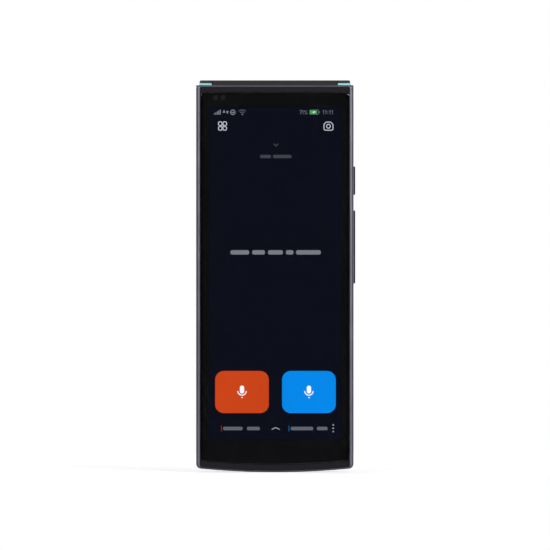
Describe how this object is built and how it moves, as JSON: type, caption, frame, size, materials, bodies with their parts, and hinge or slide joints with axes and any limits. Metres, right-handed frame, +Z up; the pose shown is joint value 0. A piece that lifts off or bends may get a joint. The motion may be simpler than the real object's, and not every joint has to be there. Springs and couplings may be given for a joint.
{
  "type": "handheld translator",
  "caption": "Slim handheld translator with a touch screen in front, side keys, and a second screen on a rear lid that flips up about a top hinge.",
  "frame": {"origin": "middle of the box's underside: the lowest point of the curved chin", "axes": "+Z up along the length, -Y the way the main screen faces, +X to the user's right"},
  "size_m": [0.0564, 0.0148, 0.139],
  "materials": {
    "frame_alloy": "dark anodised, fine bead-blasted satin",
    "deck_plastic": "moulded, fine satin grain",
    "front_glass": "polished, black printed border",
    "screen_panel": "lit screen under glass",
    "sensor_lens": "smoked lens",
    "rear_plastic": "soft-touch satin",
    "lid_plastic": "soft-touch satin",
    "hinge_accent": "turquoise anodised satin",
    "pin_steel": "turned",
    "key_alloy": "dark anodised satin",
    "switch_metal": "pressed dome on film",
    "board_laminate": "solder-mask green",
    "shield_steel": "tinned sheet",
    "cell_film": "wrapped pouch",
    "adhesive": "pull-tab tape",
    "flex_film": "amber polyimide",
    "port_steel": "drawn shell",
    "port_plastic": "moulded black",
    "speaker_plastic": "moulded black",
    "speaker_cone": "film diaphragm",
    "mesh_steel": "woven, blackened",
    "magnet_plate": "nickel plated",
    "screw_steel": "blackened",
    "tray_alloy": "dark anodised satin",
    "card_plastic": "plain white card",
    "guest_glass": "polished, black printed border",
    "lens_black": "black lens barrel",
    "lens_glass": "polished",
    "ring_alloy": "turned, bright edge",
    "flash_resin": "ribbed clear resin",
    "bumper_rubber": "soft",
    "antenna_plastic": "laser-plated moulding",
    "motor_steel": "drawn can"
  },
  "bodies": {
    "main_unit": {"mid_frame": "frame_alloy", "front_deck": "deck_plastic", "cover_glass": "front_glass", "display_panel": "screen_panel", "front_sensors": "sensor_lens", "display_flex": "flex_film", "main_board": "board_laminate", "processor_shield": "shield_steel", "modem_shield": "shield_steel", "sim_reader": "shield_steel", "battery_tape": "adhesive", "battery_cell": "cell_film", "board_link_flex": "flex_film", "vibration_motor": "motor_steel", "antenna_carrier": "antenna_plastic", "lower_board": "board_laminate", "usb_socket": "port_steel", "usb_tongue": "port_plastic", "microphones": "shield_steel", "speaker_box": "speaker_plastic", "speaker_driver": "speaker_cone", "speaker_mesh": "mesh_steel", "rear_cover": "rear_plastic", "case_screws": "screw_steel", "board_screws": "screw_steel", "lower_board_screws": "screw_steel", "body_magnets": "magnet_plate", "side_switches": "switch_metal", "hinge_bush_left": "hinge_accent", "hinge_bush_right": "hinge_accent", "hinge_pins": "pin_steel"},
    "lid": {"lid_shell": "lid_plastic", "friction_inserts": "pin_steel", "guest_glass": "guest_glass", "lid_carrier": "deck_plastic", "guest_display": "screen_panel", "lid_board": "board_laminate", "lid_screws": "screw_steel", "camera_ring": "ring_alloy", "camera_window": "lens_glass", "camera_module": "lens_black", "flash_lens": "flash_resin", "lid_magnets": "magnet_plate", "lid_bumpers": "bumper_rubber"},
    "power_button": {"power_key": "key_alloy"},
    "volume_button": {"volume_rocker": "key_alloy"},
    "card_tray": {"sim_tray": "tray_alloy", "sim_card": "card_plastic"}
  },
  "joints": [
    {"name": "lid_hinge", "type": "hinge", "parent": "main_unit", "child": "lid", "pos_m": [0, 0.0038, 0.1354], "axis": [1, 0, 0], "range_deg": [0, 180]},
    {"name": "power_press", "type": "slide", "parent": "main_unit", "child": "power_button", "axis": [-1, 0, 0], "range_m": [0, 0.0004], "stiffness_N_per_m": 1500, "springref_m": -0.0003},
    {"name": "volume_tilt", "type": "hinge", "parent": "main_unit", "child": "volume_button", "pos_m": [0.0262, -0.00165, 0.07985], "axis": [0, 1, 0], "range_deg": [-1.5, 1.5], "stiffness_Nm_per_rad": 0.5},
    {"name": "card_tray_slide", "type": "slide", "parent": "main_unit", "child": "card_tray", "axis": [-1, 0, 0], "range_m": [0, 0.017]}
  ]
}
